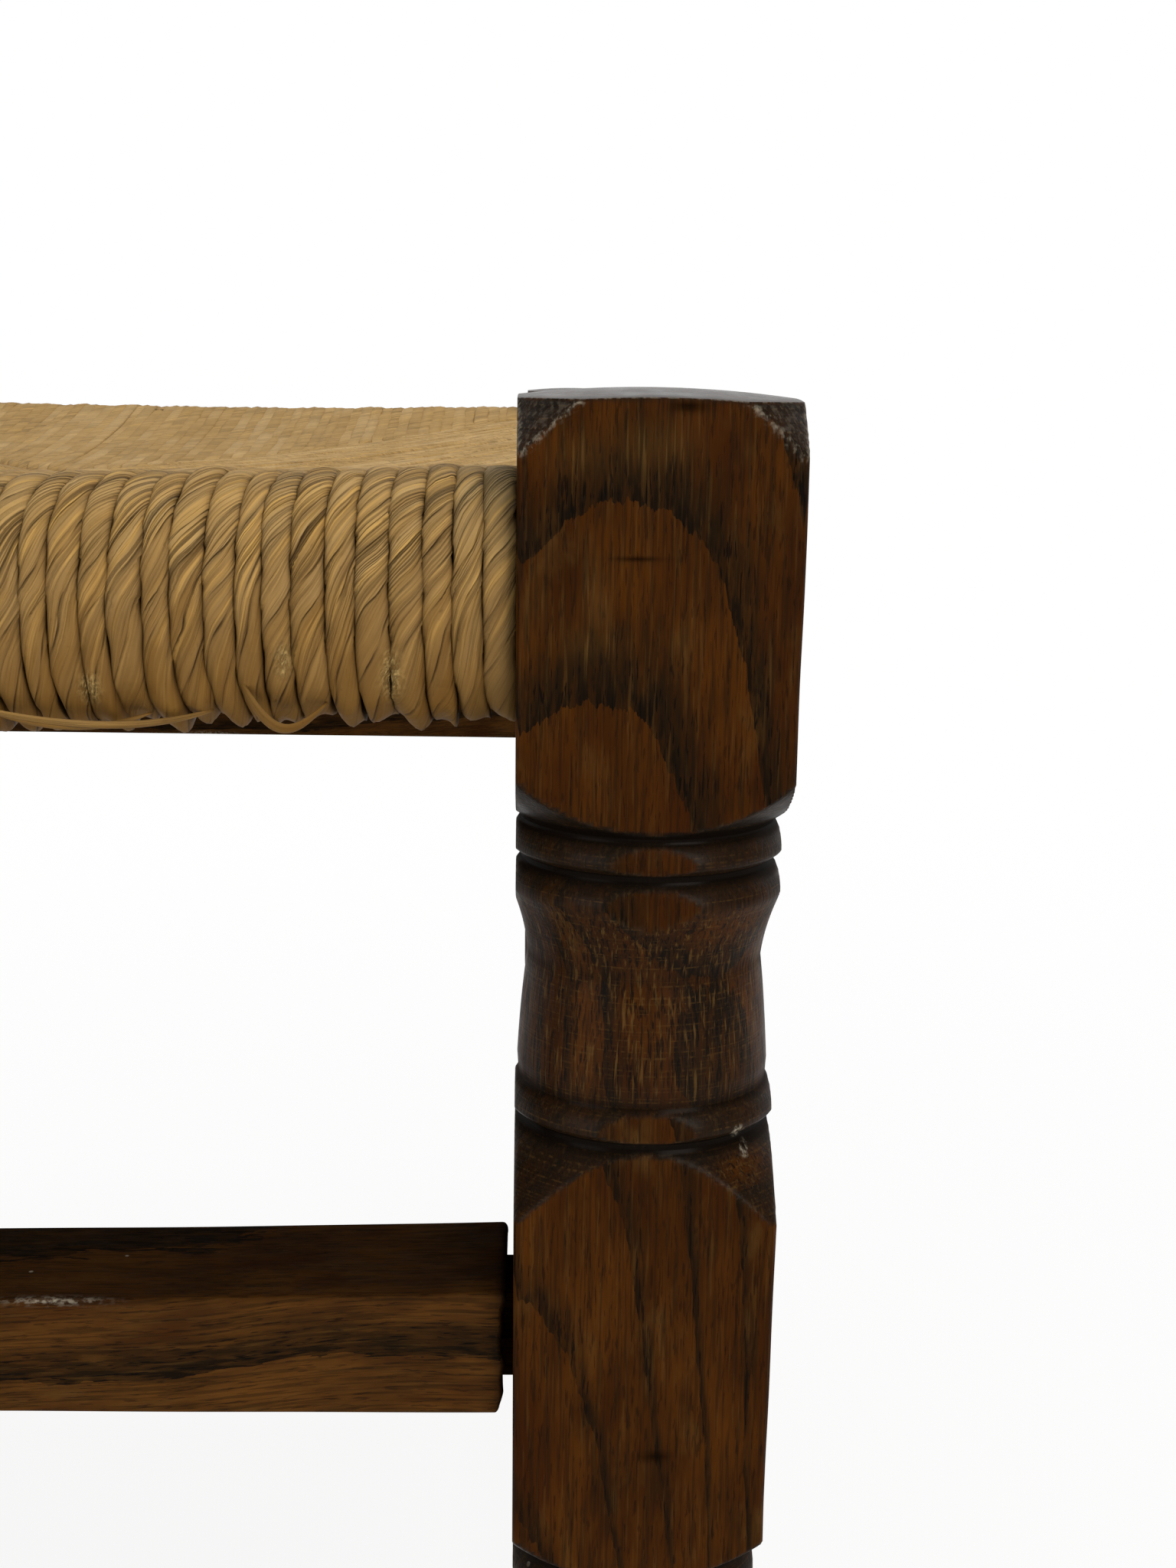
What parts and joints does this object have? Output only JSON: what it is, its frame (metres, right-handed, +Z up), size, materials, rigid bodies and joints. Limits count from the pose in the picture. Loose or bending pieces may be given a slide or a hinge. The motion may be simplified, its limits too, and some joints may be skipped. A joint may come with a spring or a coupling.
{
  "type": "rush-seated stool",
  "caption": "Rectangular joined stool with stained legs turned between square blocks, tenoned rails and stretchers, and a dished seat of twisted rush woven in mitred banks.",
  "frame": {"origin": "on the floor, under the middle of the seat", "axes": "+Z up, +X along the short ends to the right, +Y along the long sides away from the front end"},
  "size_m": [0.405, 0.651, 0.45],
  "materials": {
    "stained_wood": "dark stain under worn satin varnish",
    "rush": "dry twisted rush leaf, low sheen",
    "packed_rush": "loose dry rush offcuts, matt"
  },
  "bodies": {
    "root": {"leg_front_left": "stained_wood", "leg_front_right": "stained_wood", "leg_back_left": "stained_wood", "leg_back_right": "stained_wood", "seat_rail_front": "stained_wood", "seat_rail_back": "stained_wood", "seat_rail_left": "stained_wood", "seat_rail_right": "stained_wood", "end_stretcher_front": "stained_wood", "end_stretcher_back": "stained_wood", "side_stretcher_left": "stained_wood", "side_stretcher_right": "stained_wood", "rush_front": "rush", "rush_back": "rush", "rush_left": "rush", "rush_right": "rush", "stuffing_front": "packed_rush", "stuffing_back": "packed_rush", "stuffing_left": "packed_rush", "stuffing_right": "packed_rush"}
  },
  "joints": []
}
